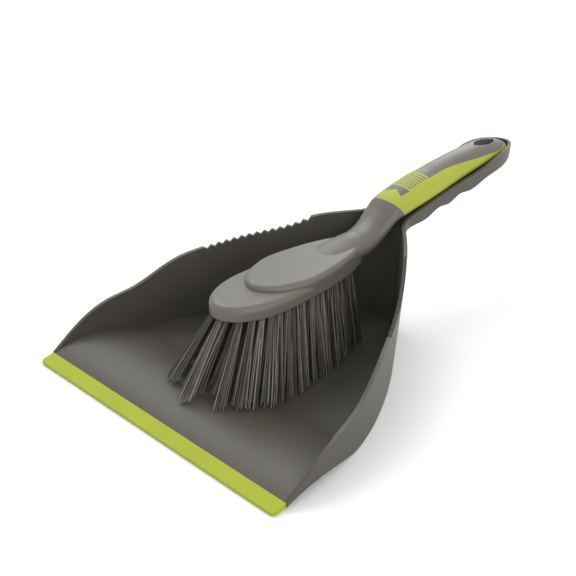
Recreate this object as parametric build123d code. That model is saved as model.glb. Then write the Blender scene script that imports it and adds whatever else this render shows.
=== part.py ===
from build123d import *
from math import acos, ceil, cos, degrees, floor, radians, sin, sqrt, tan
import os

# Dust pan and hand brush, in millimetres. While it is drawn, y = 0 is the front edge of the
# pan's lip and y grows towards the tip of the handle; everything is centred for export.

# ---- Pan: tray
LIP_WIDTH = 220.0
LIP_DEPTH = 10.0
LIP_HEIGHT = 4.1            # top of the lip where it meets the floor
LIP_NOSE = 2.2              # height of the lip's front face
LIP_CORNER = 1.6            # facet at each end of the lip
EDGE_THICKNESS = 1.2        # thin edge of the pan that the lip is moulded round
EDGE_REACH = 6.0
EDGE_INSET = 4.0
WALL = 2.4
DRAFT = 4.6                 # degrees that the walls lean out
WALL_INSET = 2.0            # lip end to the wall's inner face
STRAIGHT_SIDE = 12.0        # from the lip's edge to where the walls start to turn in
SIDE_RADIUS = 210.0
SIDE_TURN = 27.0            # degrees turned before the back curve starts
BACK_RADIUS = 345.0
BACK_CORNER_RADIUS = 36.3   # small arc that closes the back of the tray
NECK_RADIUS = 24.0          # hollow curve from the tray's wall to the handle
RIM_HEIGHT = 74.0           # wall height where it meets the handle
FLOOR_THICKNESS = 2.6
RAMP_CREST = 9.3            # height of the hump behind the lip

# ---- Pan: comb that cleans the bristles, cut in both side walls
TEETH = 13
TOOTH_PITCH = 5.25
TOOTH_DEPTH = 2.0
COMB_START = 29.35          # degrees of turn at the first gap

# ---- Pan: handle, an open trough
HANDLE_REACH = 141.3        # back of the tray to the handle's tip
TROUGH_HALF_WIDTH = 16.5
TIP_TAPER = 40.0            # length of the rounded tip at the rim
TROUGH_RISE = 23.0          # how much the trough's floor climbs
TROUGH_DEPTH = 7.5          # rim above the floor where the trough starts
FINGERS = 3                 # bulges between the fingers, under the handle
FINGER_WAVE = 1.1
FINGER_PITCH = 21.4
PAN_HOLE_RADIUS = 4.5

# ---- Brush
NEST_GAP = 0.5              # brush handle to trough, all round
REST_GAP = 0.4              # bristle tips to the tray
BRISTLE_LENGTH = 52.0
HEAD_FRONT = 57.0
HEAD_LENGTH = 128.0
HEAD_NOSE = 40.0            # head's front to its widest place
HEAD_HALF_WIDTH = 23.5
HEAD_THICKNESS = 10.0
HEAD_ROUND = 4.2
HEAD_UNDER_ROUND = 1.6
TONGUE_START = 0.227        # share of the head's length in front of the tongue
TONGUE_HEIGHT = 3.5
TONGUE_ROUND = 3.4
GRIP_HALF_WIDTH = 14.8
SLEEVE_THICKNESS = 1.5
RIBS = 8
RIB_PITCH = 2.6
RIB_WIDTH = 1.5
WINDOW_HALF_WIDTH = 7.0
HOLE_LENGTH = 23.0
HOLE_WIDTH = 10.0

# ---- Bristle tufts and the wire anchors that hold them
TUFT_RADIUS = 2.2
TUFT_TIP_RADIUS = 3.3
TUFT_ROW_PITCH = 6.4
TUFT_SPACING = 7.6
TUFT_MARGIN = 4.4           # tuft axis to the head's edge
TUFT_REACH = 0.84           # share of the head's length that carries tufts
TUFT_HOLE_DEPTH = 7.0
SIDE_FLARE = 1.65           # tip spread over root spread, across the head
NOSE_FLARE = 0.5            # what the foremost tufts add to it
FRONT_FLARE = 33.8          # how far the foremost tuft leans forward
ANCHOR_LENGTH = 5.4
ANCHOR_WIDTH = 0.5
ANCHOR_HEIGHT = 1.8


# ---- Derived places
HALF_FLOOR = LIP_WIDTH / 2 - WALL_INSET
SLOPE = tan(radians(DRAFT))
BACK_TURN = degrees(
    acos(
        (SIDE_RADIUS - HALF_FLOOR + (BACK_RADIUS - SIDE_RADIUS) * cos(radians(SIDE_TURN)))
        / (BACK_RADIUS - BACK_CORNER_RADIUS)
    )
)
SIDE_CENTRE = Vector(HALF_FLOOR - SIDE_RADIUS, STRAIGHT_SIDE)


def around(centre, radius, turn):
    """Point on an arc, turn in degrees from the +X direction."""
    return centre + Vector(cos(radians(turn)), sin(radians(turn))) * radius


BACK_CENTRE = around(SIDE_CENTRE, SIDE_RADIUS - BACK_RADIUS, SIDE_TURN)
CORNER_CENTRE = around(BACK_CENTRE, BACK_RADIUS - BACK_CORNER_RADIUS, BACK_TURN)
TRAY_DEPTH = CORNER_CENTRE.Y + BACK_CORNER_RADIUS
LENGTH = TRAY_DEPTH + HANDLE_REACH
HEAD_BOTTOM = FLOOR_THICKNESS + REST_GAP + BRISTLE_LENGTH
HEAD_TOP = HEAD_BOTTOM + HEAD_THICKNESS
HEAD_WIDEST = HEAD_FRONT + HEAD_NOSE
HOLE_Y = TRAY_DEPTH + 0.805 * HANDLE_REACH
TOP = 130.0                 # above everything


def tray_y(share):
    """y at a share of the tray's depth."""
    return share * TRAY_DEPTH


def grip_y(share):
    """y at a share of the handle's reach."""
    return TRAY_DEPTH + share * HANDLE_REACH


def side_region(curves, half=LIP_WIDTH):
    """Slab across the width, from a closed side outline drawn as (y, z)."""
    face = Pos(-half, 0, 0) * make_face([Plane.YZ * curve for curve in curves])
    return extrude(face, amount=2 * half, dir=(1, 0, 0))


# ---------------------------------------------------------------- pan
def pan_outline(inset):
    """Plan of the tray and its handle at z = 0, drawn inwards by inset from the outer face."""
    grow = WALL - inset
    half = HALF_FLOOR + grow
    half_foot = TROUGH_HALF_WIDTH - inset - (RIM_HEIGHT + TROUGH_RISE / 2) * SLOPE
    neck_radius = NECK_RADIUS + inset
    neck_x = half_foot + neck_radius
    reach = BACK_RADIUS + grow + neck_radius
    meet = degrees(acos((neck_x - BACK_CENTRE.X) / reach))
    neck_centre = around(BACK_CENTRE, reach, meet)
    side_end = around(SIDE_CENTRE, SIDE_RADIUS + grow, SIDE_TURN)
    side_mid = around(SIDE_CENTRE, SIDE_RADIUS + grow, SIDE_TURN / 2)
    back_end = around(BACK_CENTRE, BACK_RADIUS + grow, meet)
    back_mid = around(BACK_CENTRE, BACK_RADIUS + grow, (SIDE_TURN + meet) / 2)
    neck_mid = around(neck_centre, neck_radius, 180 + meet / 2)
    tip = Vector(0, LENGTH - TIP_TAPER)
    tip_reach = TIP_TAPER - inset - (RIM_HEIGHT + TROUGH_RISE) * SLOPE
    edges = [
        Line((0, -LIP_DEPTH), (half, -LIP_DEPTH)),
        Line((half, -LIP_DEPTH), (half, STRAIGHT_SIDE)),
        ThreePointArc((half, STRAIGHT_SIDE), side_mid, side_end),
        ThreePointArc(side_end, back_mid, back_end),
        ThreePointArc(back_end, neck_mid, (half_foot, neck_centre.Y)),
        Line((half_foot, neck_centre.Y), tip + Vector(half_foot, 0)),
        EllipticalCenterArc(tip, half_foot, tip_reach, start_angle=0, arc_size=90),
    ]
    edges += [mirror(edge, about=Plane.YZ) for edge in edges]
    return make_face(edges)


def drafted(inset):
    """The pan's plan drawn up to full height, leaning out by the draft."""
    top = Pos(0, 0, TOP) * pan_outline(inset - TOP * SLOPE)
    return loft([pan_outline(inset), top], ruled=True)


def trough_floor(y):
    """Height of the trough's floor along the handle."""
    share = (y - TRAY_DEPTH) / HANDLE_REACH
    return RIM_HEIGHT - TROUGH_DEPTH + TROUGH_RISE * min(max(share, 0.0), 1.0) ** 0.75


def floor_curve(drop):
    """Upper side of the tray's floor from the lip over the hump to the basin, lowered by drop."""
    hump = [
        (LIP_DEPTH, LIP_HEIGHT - drop),
        (tray_y(0.11), RAMP_CREST - 1.4 - drop),
        (tray_y(0.19), RAMP_CREST - drop),
        (tray_y(0.27), RAMP_CREST - 1.6 - drop),
        (tray_y(0.36), FLOOR_THICKNESS + 1.1 - drop),
        (tray_y(0.43), FLOOR_THICKNESS - drop),
    ]
    return Spline(hump, tangents=((1, 0.45), (1, 0)))


def rim_curve():
    """Rim seen from the side, from the lip to the tip of the handle."""
    tray = [(0.138, 0.211), (0.21, 0.319), (0.28, 0.386), (0.36, 0.435), (0.469, 0.581),
            (0.529, 0.658), (0.591, 0.707), (0.749, 0.808), (0.87, 0.895), (0.895, 0.928)]
    grip = [(-0.03, -1.4), (0.09, 1.2), (0.18, 4.0), (0.28, 7.2), (0.38, 9.8), (0.5, 12.4),
            (0.62, 14.6), (0.7, 16.8), (0.8, 20.4), (0.9, 21.6), (1.0, 20.6), (1.1, 19.6)]
    points = [(LIP_DEPTH, LIP_HEIGHT)]
    points += [(tray_y(s), h * RIM_HEIGHT) for s, h in tray]
    points += [(grip_y(s), RIM_HEIGHT + h) for s, h in grip]
    return Spline(points)


def height_at(curve, y):
    """Height and slope of a side-view curve at y, found by halving."""
    low, high = 0.0, 1.0
    for _ in range(40):
        middle = (low + high) / 2
        if (curve @ middle).X < y:
            low = middle
        else:
            high = middle
    step = curve % low
    return (curve @ low).Y, step.Y / step.X


def back_wall_line(offset, low, high):
    """Two ends of the tray's back wall in the side view."""
    return (TRAY_DEPTH + offset + low * SLOPE, low), (TRAY_DEPTH + offset + high * SLOPE, high)


def outer_side():
    """Side outline of the pan's outside: underside, back wall, finger waves and rim."""
    rim = rim_curve()
    under = floor_curve(FLOOR_THICKNESS)
    foot, bend = back_wall_line(WALL, 0.0, RIM_HEIGHT - TROUGH_DEPTH - 3 * WALL)
    waves = [bend, (grip_y(0.16), trough_floor(grip_y(0.16)) - 1.5 * WALL)]
    for i in range(2 * FINGERS - 1):
        y = grip_y(0.26) + i * FINGER_PITCH / 2
        waves.append((y, trough_floor(y) - 1.5 * WALL - FINGER_WAVE * (-1) ** i))
    for share in (0.7, 0.8, 0.9, 1.0):
        waves.append((grip_y(share), trough_floor(grip_y(share)) - 1.1 * WALL))
    far = (rim @ 1).X
    edges = [
        under,
        Line(under @ 1, foot),
        Line(foot, bend),
        Spline(waves, tangents=((SLOPE, 1), (1, 0.12))),
        Polyline(waves[-1], (far, waves[-1][1]), rim @ 1),
        rim,
        Line(rim @ 0, under @ 0),
    ]
    return side_region(edges)


def inner_side():
    """Side outline of everything above the tray's and the trough's floors."""
    top = floor_curve(0.0)
    shares = (0.08, 0.2, 0.4, 0.6, 0.8, 1.0, 1.1)
    trough = [(grip_y(s), trough_floor(grip_y(s))) for s in shares]
    foot, bend = back_wall_line(0.0, FLOOR_THICKNESS, RIM_HEIGHT - TROUGH_DEPTH - 2 * WALL)
    far = trough[-1][0]
    edges = [
        Line((0, LIP_HEIGHT), top @ 0),
        top,
        Line(top @ 1, foot),
        Line(foot, bend),
        Spline([bend] + trough, tangents=((SLOPE, 1), (1, 0))),
        Polyline(trough[-1], (far, TOP), (0, TOP), (0, LIP_HEIGHT)),
    ]
    return side_region(edges)


def comb_cutters():
    """Wedges between the comb's teeth, square to both side walls."""
    rim = rim_curve()
    notch = Polyline(
        (-TOOTH_PITCH, TOOTH_DEPTH), (0, -TOOTH_DEPTH), (TOOTH_PITCH, TOOTH_DEPTH), close=True
    )
    wedge = extrude(make_face(notch), amount=3 * WALL, both=True)
    cutters = []
    for i in range(TEETH + 1):
        turn = COMB_START + i * degrees(TOOTH_PITCH / BACK_RADIUS)
        height, _ = height_at(rim, around(BACK_CENTRE, BACK_RADIUS, turn).Y)
        spot = around(BACK_CENTRE, BACK_RADIUS + height * SLOPE, turn)
        height, slope = height_at(rim, spot.Y)
        along = Vector(-sin(radians(turn)), cos(radians(turn)), slope * cos(radians(turn)))
        square = Vector(cos(radians(turn)), sin(radians(turn)), 0)
        seat = Plane(origin=(spot.X, spot.Y, height), x_dir=along, z_dir=square)
        cutter = seat * wedge
        cutters += [cutter, mirror(cutter, about=Plane.YZ)]
    return cutters


def thin_edge():
    """Front edge of the pan, thinned so that the lip can be moulded round it."""
    middle = LIP_HEIGHT - FLOOR_THICKNESS / 2
    drop = 0.3 * EDGE_REACH
    half = EDGE_THICKNESS / 2
    points = [
        (LIP_DEPTH, middle - half),
        (LIP_DEPTH, middle + half),
        (LIP_DEPTH - EDGE_REACH, middle + half - drop),
        (LIP_DEPTH - EDGE_REACH, middle - half - drop),
    ]
    return side_region([Polyline(points, close=True)], HALF_FLOOR - EDGE_INSET)


def pan_body():
    """Tray, walls, comb and trough handle: one drafted moulding."""
    outside = drafted(0.0) & outer_side()
    inside = drafted(WALL) & inner_side()
    hole = Pos(0, HOLE_Y) * Cylinder(PAN_HOLE_RADIUS, 2 * TOP)
    return outside - inside - comb_cutters() - hole + thin_edge()


def pan_lip():
    """Flexible strip along the pan's front edge."""
    profile = Polyline(
        (0, 0.4),
        (0, LIP_NOSE),
        (LIP_DEPTH, LIP_HEIGHT),
        (LIP_DEPTH, LIP_HEIGHT - FLOOR_THICKNESS),
        (0.3 * LIP_DEPTH, 0),
        (0.4, 0),
        close=True,
    )
    strip = side_region([profile], LIP_WIDTH / 2)
    upright = strip.edges().filter_by(Axis.Z).group_by(Axis.Y)[0]
    return chamfer(upright, LIP_CORNER) - thin_edge()


# ---------------------------------------------------------------- brush
def head_half(y, inset):
    """Half width of the head's egg-shaped outline at y, drawn inwards by inset."""
    reach = HEAD_NOSE if y < HEAD_WIDEST else HEAD_LENGTH - HEAD_NOSE
    share = (y - HEAD_WIDEST) / (reach - inset)
    return (HEAD_HALF_WIDTH - inset) * sqrt(max(0.0, 1 - share**2))


def head_plan():
    """Egg-shaped outline of the brush head, narrowing under the neck."""
    middle = (0, HEAD_WIDEST)
    nose = EllipticalCenterArc(middle, HEAD_HALF_WIDTH, HEAD_NOSE, start_angle=180, arc_size=180)
    tail = EllipticalCenterArc(middle, HEAD_HALF_WIDTH, HEAD_LENGTH - HEAD_NOSE, start_angle=0, arc_size=180)
    return make_face([nose, tail])


def brush_sections():
    """Neck and grip as (y, half width, bottom, top), from inside the head to the tip."""
    head = [(0.594, 0.66, 2.0, 1.8), (0.664, 0.7, 1.8, 3.1), (0.734, 0.68, 1.4, 4.2),
            (0.805, 0.64, 1.1, 5.1), (0.88, 0.59, 0.9, 5.8), (0.96, 0.55, 1.0, 6.4)]
    sections = [
        (HEAD_FRONT + s * HEAD_LENGTH, half * HEAD_HALF_WIDTH, HEAD_BOTTOM + low, HEAD_TOP + high)
        for s, half, low, high in head
    ]
    start_y, _, start_low, start_high = sections[-1]
    end_y = grip_y(0.06)
    neck = [(0.2, 0.85, 0.06, 0.05), (0.4, 0.84, 0.22, 0.18), (0.56, 0.845, 0.42, 0.36),
            (0.72, 0.865, 0.66, 0.58), (0.87, 0.89, 0.88, 0.81)]
    for share, half, low, high in neck:
        bottom = start_low + low * (trough_floor(end_y) + 1.6 - start_low)
        top = start_high + high * (trough_floor(end_y) + 18.6 - start_high)
        sections.append((start_y + share * (end_y - start_y), half * GRIP_HALF_WIDTH, bottom, top))
    grip = [(0.06, 0.91, 1.1, 18.6), (0.096, 0.93, 1.3, 19.2), (0.133, 0.95, 1.3, 19.4),
            (0.2, 0.98, 1.1, 19.3), (0.275, 1.0, 0.8, 19.1), (0.345, 0.985, 0.5, 18.8),
            (0.416, 0.955, 0.3, 18.5), (0.487, 0.92, 0.2, 18.1), (0.558, 0.885, 0.2, 17.6),
            (0.63, 0.865, 0.3, 16.9), (0.7, 0.85, 0.4, 16.0), (0.753, 0.84, 0.4, 15.2),
            (0.805, 0.81, 0.3, 14.1), (0.86, 0.74, 0.1, 12.3), (0.911, 0.61, 0.1, 9.9),
            (0.95, 0.37, 0.1, 6.6), (0.968, 0.17, 0.1, 4.6)]
    for share, half, low, high in grip:
        base = trough_floor(grip_y(share))
        sections.append((grip_y(share), half * GRIP_HALF_WIDTH, base + low + NEST_GAP, base + high))
    return sections


def grip_loft(inset):
    """Rounded neck and grip, drawn inwards by inset."""
    ovals = []
    for y, half, bottom, top in brush_sections():
        seat = Plane(origin=(0, y, (bottom + top) / 2), x_dir=(1, 0, 0), z_dir=(0, 1, 0))
        ovals.append(seat * Ellipse(half - inset, (top - bottom) / 2 - inset))
    return loft(ovals)


def tongue():
    """Raised tier on the head that runs back into the neck."""
    widths = [(0.262, 0.43), (0.317, 0.68), (0.406, 0.88), (0.47, 0.98), (0.54, 1.015), (0.63, 1.02),
              (0.73, 1.02), (0.84, 1.02), (0.93, 1.03)]
    right = []
    for share, part in widths:
        y = HEAD_FRONT + share * HEAD_LENGTH
        right.append((part * head_half(y, 0.0), y))
    left = [(-x, y) for x, y in reversed(right)]
    side = Spline(left + [(0, HEAD_FRONT + TONGUE_START * HEAD_LENGTH)] + right)
    face = make_face([side, Line(right[-1], left[0])])
    height = HEAD_THICKNESS + TONGUE_HEIGHT - HEAD_UNDER_ROUND
    tier = extrude(Pos(0, 0, HEAD_BOTTOM + HEAD_UNDER_ROUND) * face, height)
    return fillet(tier.edges().group_by(Axis.Z)[-1].filter_by(GeomType.BSPLINE), TONGUE_ROUND)


def hanging_hole():
    """Pointed oval hole through the brush's grip."""
    ends = (0, HOLE_Y - HOLE_LENGTH / 2), (0, HOLE_Y + HOLE_LENGTH / 2)
    right = ThreePointArc(ends[0], (HOLE_WIDTH / 2, HOLE_Y), ends[1])
    face = make_face([right, mirror(right, about=Plane.YZ)])
    return extrude(face, TOP)


def sleeve_band():
    """Where the soft sleeve lies: from a slanted ring in front to the tip."""
    ring = grip_y(0.077)
    lean = 0.67
    end = grip_y(0.962)
    middle = trough_floor(ring) + 12.0
    low, high = middle - 40, middle + 40
    side = Polyline(
        (ring + 40 * lean, low), (ring - 40 * lean, high), (end, high), (end, low), close=True
    )
    return side_region([side])


def windows():
    """Openings in the top of the sleeve that show the hard core: thumb patch, ribs and spine."""
    patch_front = grip_y(0.113)
    patch_back = grip_y(0.171)
    ribs_back = patch_back + RIBS * RIB_PITCH
    half = WINDOW_HALF_WIDTH
    patch = Polyline(
        (0, patch_front + 3.5),
        (half, patch_front),
        (half + 0.8, patch_back),
        (0, patch_back),
        close=True,
    )
    spine_side = Spline(
        (half + 0.4, ribs_back),
        (half + 0.6, grip_y(0.46)),
        (0.68 * GRIP_HALF_WIDTH, grip_y(0.6)),
        (0.78 * GRIP_HALF_WIDTH, grip_y(0.74)),
        (0.72 * GRIP_HALF_WIDTH, grip_y(0.85)),
        (0.4 * GRIP_HALF_WIDTH, grip_y(0.93)),
        (0, grip_y(0.95)),
        tangents=((-0.1, 1), (-1, 0)),
    )
    spine = [
        spine_side,
        Line((0, grip_y(0.95)), (0, ribs_back)),
        Line((0, ribs_back), (half + 0.4, ribs_back)),
    ]
    plans = [make_face(patch), make_face(spine)]
    plans += [mirror(plan, about=Plane.YZ) for plan in plans]
    gap = RIB_PITCH - RIB_WIDTH
    for i in range(1, RIBS):
        plans.append(Pos(0, patch_back + i * RIB_PITCH) * Rectangle(2 * half, gap))
    prisms = [extrude(plan, TOP) for plan in plans]
    middle = [(grip_y(s), trough_floor(grip_y(s)) + h) for s, h in ((0, 11), (0.5, 10), (0.8, 8), (1, 3))]
    above = side_region([Polyline(middle + [(grip_y(1), TOP), (grip_y(0), TOP)], close=True)])
    return [prism & above for prism in prisms]


def grip_sleeve():
    """Soft grip moulded over the brush's handle."""
    band = grip_loft(0.0) & sleeve_band()
    return band - grip_loft(SLEEVE_THICKNESS) - windows() - hanging_hole()


def brush_body(sleeve, holes):
    """Head, tongue, neck and the grip's hard core."""
    head = extrude(Pos(0, 0, HEAD_BOTTOM) * head_plan(), HEAD_THICKNESS)
    head = fillet(head.edges().group_by(Axis.Z)[-1], HEAD_ROUND)
    head = fillet(head.edges().group_by(Axis.Z)[0], HEAD_UNDER_ROUND)
    body = head + tongue() + grip_loft(0.0)
    return body - hanging_hole() - sleeve - holes


# ---------------------------------------------------------------- tufts
def floor_height(y):
    """Height of the tray's floor at y."""
    hump = floor_curve(0.0)
    if y <= (hump @ 0).X or y >= (hump @ 1).X:
        return FLOOR_THICKNESS
    return height_at(hump, y)[0]


def tuft_roots():
    """Rows of (x, y) places of the tuft holes under the head."""
    count = 1 + floor((TUFT_REACH * HEAD_LENGTH - TUFT_MARGIN) / TUFT_ROW_PITCH)
    rows = []
    for i in range(count):
        y = HEAD_FRONT + TUFT_MARGIN + i * TUFT_ROW_PITCH
        half = head_half(y, TUFT_MARGIN)
        across = max(1, ceil(2 * half / TUFT_SPACING))
        spread = [0.0] if across == 1 else [half * (2 * k / (across - 1) - 1) for k in range(across)]
        rows.append([(x, y) for x in spread])
    return rows


def tuft_tip(x, y):
    """Where the tip of a tuft rooted at (x, y) reaches."""
    reach = 0.9 * HEAD_LENGTH
    share = (HEAD_FRONT + reach - y) / reach
    tip_y = y - FRONT_FLARE * share**1.5
    ground = max(floor_height(tip_y - TUFT_TIP_RADIUS), floor_height(tip_y + TUFT_TIP_RADIUS))
    return Vector((SIDE_FLARE + NOSE_FLARE * share**2) * x, tip_y, ground + REST_GAP)


def anchor(x, y):
    """Flat wire across the bottom of a tuft hole."""
    top = HEAD_BOTTOM + TUFT_HOLE_DEPTH
    return Pos(x, y, top - ANCHOR_HEIGHT / 2) * Box(ANCHOR_LENGTH, ANCHOR_WIDTH, ANCHOR_HEIGHT)


def tuft_hole(x, y):
    """Blind hole for a tuft."""
    return Pos(x, y, HEAD_BOTTOM + TUFT_HOLE_DEPTH / 2) * Cylinder(TUFT_RADIUS, TUFT_HOLE_DEPTH)


def tuft(x, y):
    """Bundle of bristles, flared towards its tip and folded over its anchor."""
    root = Plane(origin=(x, y, HEAD_BOTTOM)) * Circle(TUFT_RADIUS)
    tip = Plane(origin=tuft_tip(x, y)) * Circle(TUFT_TIP_RADIUS)
    return loft([tip, root]) + tuft_hole(x, y) - anchor(x, y)


def export(name, shape):
    """Write one piece with the origin under the middle of the set."""
    export_step(Pos(0, -LENGTH / 2) * shape, f"parts/{name}.step")


def main():
    os.makedirs("parts", exist_ok=True)
    export("pan_body", pan_body())
    export("pan_lip", pan_lip())
    rows = tuft_roots()
    places = [place for row in rows for place in row]
    holes = [tuft_hole(*place) for place in places] + [anchor(*place) for place in places]
    sleeve = grip_sleeve()
    export("grip_sleeve", sleeve)
    export("brush_body", brush_body(sleeve, holes))
    for i, row in enumerate(rows, start=1):
        export(f"tuft_row_{i:02d}", Compound([solid for place in row for solid in tuft(*place).solids()]))
        export(f"anchor_row_{i:02d}", Compound([anchor(*place).solid() for place in row]))


main()
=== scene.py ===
import bpy
import math
import random
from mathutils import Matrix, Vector


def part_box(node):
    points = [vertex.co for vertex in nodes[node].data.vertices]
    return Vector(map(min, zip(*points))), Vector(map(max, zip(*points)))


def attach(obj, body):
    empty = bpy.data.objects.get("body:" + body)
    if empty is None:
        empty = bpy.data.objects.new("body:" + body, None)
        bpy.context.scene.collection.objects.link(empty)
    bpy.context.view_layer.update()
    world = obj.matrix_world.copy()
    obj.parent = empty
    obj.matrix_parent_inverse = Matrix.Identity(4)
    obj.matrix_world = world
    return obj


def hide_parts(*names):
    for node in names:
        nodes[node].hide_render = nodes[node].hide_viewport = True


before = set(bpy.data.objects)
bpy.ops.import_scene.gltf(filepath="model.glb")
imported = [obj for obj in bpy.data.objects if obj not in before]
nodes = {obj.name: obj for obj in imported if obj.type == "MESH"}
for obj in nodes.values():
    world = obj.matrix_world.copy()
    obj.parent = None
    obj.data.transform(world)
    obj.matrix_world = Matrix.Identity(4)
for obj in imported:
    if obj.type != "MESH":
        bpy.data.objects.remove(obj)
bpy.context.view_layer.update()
MM = 0.001

# ---- Camera
CAMERA_TURN = math.radians(45.76)
CAMERA_RISE = math.radians(28.26)
CAMERA_REACH = 0.8148
CAMERA_AIM = Vector((-0.0318, -0.02176, 0.030))
CAMERA_LENS = 75.0

# ---- Light
WORLD_LIGHT = 0.88
KEY_LIGHT = 10.0
FILL_LIGHT = 6.0
EDGE_LIGHT = 2.5
FLOOR_SIZE = 8.0
FLOOR_DROP = 0.4 * MM
FLOOR_TONE = (0.90, 0.90, 0.90, 1.0)
WHITE = (1.0, 1.0, 1.0, 1.0)

# ---- Bristles
TUFT_SPACING = 7.6 * MM         # a row has a tuft for each of these across it, rounded up
COUNT_SLACK = 0.001             # part of a tuft that is dropped before rounding up
ANCHOR_OVERHANG = 2.7 * MM      # outermost tuft's axis to its wire's end
ROOT_SPREAD = 1.9 * MM          # filaments' reach from the tuft's axis at its hole
TIP_SPREAD = 4.3 * MM           # and at its tip
TIP_RADIUS = 3.3 * MM           # radius of the CAD tuft's tip
TIP_WANDER = 1.3 * MM
FILAMENTS = 22                  # in each tuft
FILAMENT_RADIUS = 0.3 * MM
TIP_LOSS = 2.2 * MM             # the most that a filament falls short
ROOT_DEPTH = 1.5 * MM
MOUTH_DROP = 2.5 * MM
BELLY = 1.2 * MM                # rise of a filament's middle

# ---- Moulded faces
HARD_GRAIN = 2600.0
SOFT_GRAIN = 1800.0
FLOW_SCALE = 18.0
RELIEF_DEPTH = 0.2 * MM
FLOW_GLOSS = 0.12               # how much the flow marks change the roughness
SCUFF_GLOSS = 0.10              # what a scuff adds to the roughness
SCUFF_LEVEL = 0.69              # scratch noise above this is a scuff
SCUFF_STRETCH = (900.0, 40.0, 60.0)
SCUFF_TURN = 0.5

# ---- Bristle finish
MOTTLE_SCALE = 260.0
MOTTLE_DARKEST = 0.75
MOTTLE_LIGHTEST = 1.2
BRISTLE_ROUGHNESS = 0.34


# ---------------------------------------------------------------- materials
def noise(tree, scale, detail, source, rough=0.5):
    """Noise texture read at a source of coordinates."""
    node = tree.nodes.new("ShaderNodeTexNoise")
    node.inputs["Detail"].default_value = detail
    node.inputs["Roughness"].default_value = rough
    tree.links.new(source, node.inputs["Vector"])
    if isinstance(scale, float):
        node.inputs["Scale"].default_value = scale
    else:
        tree.links.new(scale, node.inputs["Scale"])
    return node.outputs["Fac"]


def maths(tree, operation, *values):
    """Math node whose inputs are sockets or numbers."""
    node = tree.nodes.new("ShaderNodeMath")
    node.operation = operation
    for socket, value in zip(node.inputs, values):
        if isinstance(value, float):
            socket.default_value = value
        else:
            tree.links.new(value, socket)
    return node.outputs[0]


def moulded_grain():
    """Fine spark-eroded grain, slow flow marks and faint scuffs of a moulded face."""
    group = bpy.data.node_groups.new("moulded_grain", "ShaderNodeTree")
    for label, value in (("Grain Scale", HARD_GRAIN), ("Flow Scale", FLOW_SCALE)):
        socket = group.interface.new_socket(label, in_out="INPUT", socket_type="NodeSocketFloat")
        socket.default_value = value
    for label in ("Grain", "Flow", "Scuff"):
        group.interface.new_socket(label, in_out="OUTPUT", socket_type="NodeSocketFloat")
    start = group.nodes.new("NodeGroupInput")
    end = group.nodes.new("NodeGroupOutput")
    place = group.nodes.new("ShaderNodeTexCoord").outputs["Object"]
    grain = noise(group, start.outputs["Grain Scale"], 2.0, place)
    flow = noise(group, start.outputs["Flow Scale"], 3.0, place)
    stretch = group.nodes.new("ShaderNodeMapping")
    stretch.inputs["Scale"].default_value = SCUFF_STRETCH
    stretch.inputs["Rotation"].default_value = (0.0, 0.0, SCUFF_TURN)
    group.links.new(place, stretch.inputs["Vector"])
    scratch = noise(group, 1.0, 4.0, stretch.outputs["Vector"], 0.7)
    scuff = maths(group, "GREATER_THAN", scratch, SCUFF_LEVEL)
    for label, value in (("Grain", grain), ("Flow", flow), ("Scuff", scuff)):
        group.links.new(value, end.inputs[label])
    return group


GRAIN = moulded_grain()


def ramp(tree, source, stops):
    """Colour ramp from a list of (position, colour)."""
    node = tree.nodes.new("ShaderNodeValToRGB")
    elements = node.color_ramp.elements
    elements[0].position, elements[0].color = stops[0][0], (*stops[0][1], 1.0)
    elements[1].position, elements[1].color = stops[-1][0], (*stops[-1][1], 1.0)
    for position, colour in stops[1:-1]:
        elements.new(position).color = (*colour, 1.0)
    tree.links.new(source, node.inputs["Fac"])
    return node.outputs["Color"]


def new_material(name):
    """Material with nodes, its tree and its shader."""
    material = bpy.data.materials.new(name)
    material.use_nodes = True
    tree = material.node_tree
    return material, tree, tree.nodes["Principled BSDF"]


def plastic(name, dark, light, roughness, bump, grain_scale=HARD_GRAIN, specular=0.5):
    """Moulded plastic or soft rubber: two close tones, grained and slightly scuffed."""
    material, tree, shader = new_material(name)
    skin = tree.nodes.new("ShaderNodeGroup")
    skin.node_tree = GRAIN
    skin.inputs["Grain Scale"].default_value = grain_scale
    tone = ramp(tree, skin.outputs["Flow"], [(0.3, dark), (0.7, light)])
    tree.links.new(tone, shader.inputs["Base Color"])
    spread = maths(tree, "MULTIPLY_ADD", skin.outputs["Flow"], FLOW_GLOSS, roughness - FLOW_GLOSS / 2)
    worn = maths(tree, "MULTIPLY_ADD", skin.outputs["Scuff"], SCUFF_GLOSS, spread)
    tree.links.new(worn, shader.inputs["Roughness"])
    relief = tree.nodes.new("ShaderNodeBump")
    relief.inputs["Strength"].default_value = bump
    relief.inputs["Distance"].default_value = RELIEF_DEPTH
    tree.links.new(skin.outputs["Grain"], relief.inputs["Height"])
    tree.links.new(relief.outputs["Normal"], shader.inputs["Normal"])
    shader.inputs["Specular IOR Level"].default_value = specular
    return material


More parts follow.
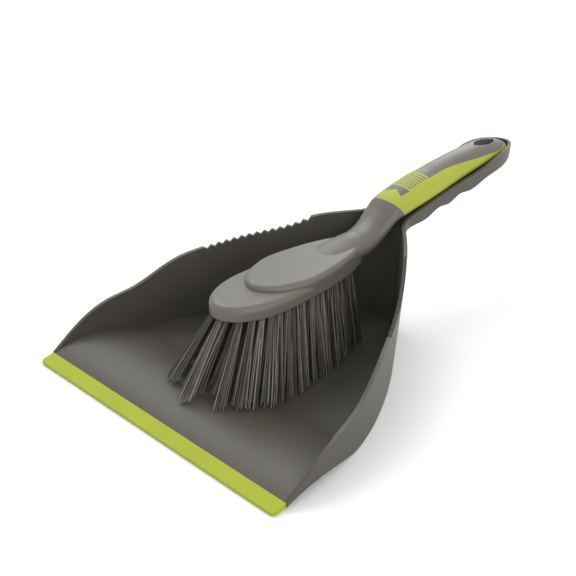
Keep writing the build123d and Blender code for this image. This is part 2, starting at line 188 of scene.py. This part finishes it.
def bristle_material():
    """Extruded filament: a tone drawn at random for each strand from dark to light, the light end a
    painted highlight, slightly mottled along it.
    """
    material, tree, shader = new_material("bristle_grey")
    strand = tree.nodes.new("ShaderNodeAttribute")
    strand.attribute_name = "strand"
    # tone stops for the strands; the top stop (0.30) is a painted highlight that stands in for glints
    # on the filaments
    strand_tones_and_glints = [
        (0.0, (0.040, 0.035, 0.031)),
        (0.6, (0.115, 0.105, 0.096)),
        (1.0, (0.30, 0.28, 0.26)),
    ]
    tone = ramp(tree, strand.outputs["Fac"], strand_tones_and_glints)
    place = tree.nodes.new("ShaderNodeTexCoord").outputs["Object"]
    fade = tree.nodes.new("ShaderNodeMapRange")
    fade.inputs["To Min"].default_value = MOTTLE_DARKEST
    fade.inputs["To Max"].default_value = MOTTLE_LIGHTEST
    tree.links.new(noise(tree, MOTTLE_SCALE, 2.0, place), fade.inputs["Value"])
    mottled = tree.nodes.new("ShaderNodeVectorMath")
    mottled.operation = "SCALE"
    tree.links.new(tone, mottled.inputs[0])
    tree.links.new(fade.outputs["Result"], mottled.inputs["Scale"])
    tree.links.new(mottled.outputs["Vector"], shader.inputs["Base Color"])
    shader.inputs["Roughness"].default_value = BRISTLE_ROUGHNESS
    return material


def dress(node, material):
    """Put a material on a CAD node."""
    mesh = nodes[node].data
    mesh.materials.clear()
    mesh.materials.append(material)


# ---------------------------------------------------------------- bristles
def tuft_places(row):
    """Roots of a row's tufts, spread over the width of its wires, and how far their tips flare."""
    low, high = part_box(f"anchor_row_{row:02d}")
    half = (high.x - low.x) / 2 - ANCHOR_OVERHANG
    count = max(1, math.ceil(2 * half / TUFT_SPACING - COUNT_SLACK))
    y = (low.y + high.y) / 2
    if count == 1:
        return [(0.0, y)], 1.0
    tip_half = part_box(f"tuft_row_{row:02d}")[1].x - TIP_RADIUS
    return [(half * (2 * k / (count - 1) - 1), y) for k in range(count)], tip_half / half


def disc_point(radius, rng):
    """Random point in a disc."""
    reach = radius * math.sqrt(rng.random())
    turn = rng.uniform(0, 2 * math.pi)
    return Vector((reach * math.cos(turn), reach * math.sin(turn), 0))


def filament(root, tip, rng):
    """Points of one filament from inside its hole to its tip, for a tuft from root to tip."""
    spot = disc_point(1.0, rng)
    start = root + spot * ROOT_SPREAD
    end = tip + spot * TIP_SPREAD + disc_point(TIP_WANDER, rng)
    end.z += rng.random() ** 2 * TIP_LOSS
    mouth = start - Vector((0, 0, MOUTH_DROP))
    middle = (mouth + end) / 2 + disc_point(TIP_WANDER / 2, rng)
    middle.z += BELLY
    return start, mouth, middle, end


def add_strand(curve, points):
    """One filament's smooth line on a curve."""
    spline = curve.splines.new("NURBS")
    spline.points.add(len(points) - 1)
    for point, place in zip(spline.points, points):
        point.co = (*place, 1.0)
    spline.order_u = 3
    spline.use_endpoint_u = True


def bristle_row(row, rng):
    """All the filaments of one row of tufts, as one mesh."""
    tuft_low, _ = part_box(f"tuft_row_{row:02d}")
    root_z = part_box("brush_body")[0].z
    curve = bpy.data.curves.new(f"bristles_{row:02d}", "CURVE")
    curve.dimensions = "3D"
    curve.bevel_depth = FILAMENT_RADIUS
    curve.bevel_resolution = 0
    curve.resolution_u = 3
    curve.use_fill_caps = True
    places, flare = tuft_places(row)
    for x, y in places:
        root = Vector((x, y, root_z + ROOT_DEPTH))
        tip = Vector((x * flare, tuft_low.y + TIP_RADIUS, tuft_low.z))
        for _ in range(FILAMENTS):
            add_strand(curve, filament(root, tip, rng))
    strands = len(curve.splines)
    thing = bpy.data.objects.new(f"bristles_{row:02d}", curve)
    bpy.context.scene.collection.objects.link(thing)
    bpy.ops.object.select_all(action="DESELECT")
    thing.select_set(True)
    bpy.context.view_layer.objects.active = thing
    bpy.ops.object.convert(target="MESH")
    mesh = thing.data
    # random place on the tone ramp for each strand; strands near the top get the painted highlight
    strand_tones_and_glints = [rng.random() for _ in range(strands)]
    per_strand = len(mesh.vertices) // strands
    attribute = mesh.attributes.new("strand", "FLOAT", "POINT")
    attribute.data.foreach_set("value", [strand_tones_and_glints[i // per_strand] for i in range(len(mesh.vertices))])
    mesh.materials.append(BRISTLE)
    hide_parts(f"tuft_row_{row:02d}")
    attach(thing, "brush")


# ---------------------------------------------------------------- stage
def lamp(name, place, size, power):
    """Square soft light aimed at the object."""
    data = bpy.data.lights.new(name, "AREA")
    data.size = size
    data.energy = power
    light = bpy.data.objects.new(name, data)
    light.location = place
    light.rotation_euler = (-Vector(place)).to_track_quat("-Z", "Y").to_euler()
    bpy.context.scene.collection.objects.link(light)


def stage():
    """Pale floor and soft lights."""
    bpy.ops.object.select_all(action="DESELECT")
    bpy.ops.mesh.primitive_plane_add(size=FLOOR_SIZE, location=(0, 0, -FLOOR_DROP))
    floor = bpy.context.active_object
    floor.name = "studio_floor"
    paint, _, shader = new_material("studio_white")
    shader.inputs["Base Color"].default_value = FLOOR_TONE
    shader.inputs["Roughness"].default_value = 0.9
    floor.data.materials.append(paint)
    world = bpy.data.worlds.new("studio")
    world.use_nodes = True
    background = world.node_tree.nodes["Background"]
    background.inputs["Color"].default_value = WHITE
    background.inputs["Strength"].default_value = WORLD_LIGHT
    bpy.context.scene.world = world
    bpy.context.scene.view_settings.view_transform = "Standard"
    lamp("key_light", (-0.9, 0.25, 1.2), 0.9, KEY_LIGHT)
    lamp("fill_light", (1.1, -0.3, 0.7), 0.9, FILL_LIGHT)
    lamp("edge_light", (-0.8, 1.1, 0.55), 0.5, EDGE_LIGHT)


def camera():
    """Camera in front, to the right and above."""
    data = bpy.data.cameras.new("camera")
    data.lens = CAMERA_LENS
    data.sensor_width = 36.0
    level = math.cos(CAMERA_RISE)
    back = Vector(
        (math.sin(CAMERA_TURN) * level, -math.cos(CAMERA_TURN) * level, math.sin(CAMERA_RISE))
    )
    thing = bpy.data.objects.new("camera", data)
    thing.location = CAMERA_AIM + back * CAMERA_REACH
    thing.rotation_euler = (-back).to_track_quat("-Z", "Y").to_euler()
    bpy.context.scene.collection.objects.link(thing)
    bpy.context.scene.camera = thing


PAN_GREY = plastic(
    "pan_grey", (0.060, 0.055, 0.044), (0.072, 0.066, 0.054), 0.42, 0.25, specular=0.3
)
BRUSH_GREY = plastic(
    "brush_grey", (0.110, 0.103, 0.086), (0.128, 0.121, 0.102), 0.38, 0.2, specular=0.45
)
LIP_LIME = plastic(
    "lip_lime", (0.30, 0.355, 0.008), (0.34, 0.395, 0.012), 0.48, 0.2, specular=0.2
)
GRIP_LIME = plastic(
    "grip_lime", (0.325, 0.36, 0.040), (0.365, 0.40, 0.050), 0.55, 0.4, SOFT_GRAIN, 0.3
)
WIRE = plastic("anchor_wire", (0.50, 0.50, 0.48), (0.58, 0.58, 0.55), 0.35, 0.1)
BRISTLE = bristle_material()

camera()
stage()
dress("pan_body", PAN_GREY)
dress("pan_lip", LIP_LIME)
dress("brush_body", BRUSH_GREY)
dress("grip_sleeve", GRIP_LIME)
rng = random.Random(7)
rows = sum(1 for name in nodes if name.startswith("tuft_row_"))
for row in range(1, rows + 1):
    dress(f"anchor_row_{row:02d}", WIRE)
    dress(f"tuft_row_{row:02d}", BRISTLE)
    bristle_row(row, rng)
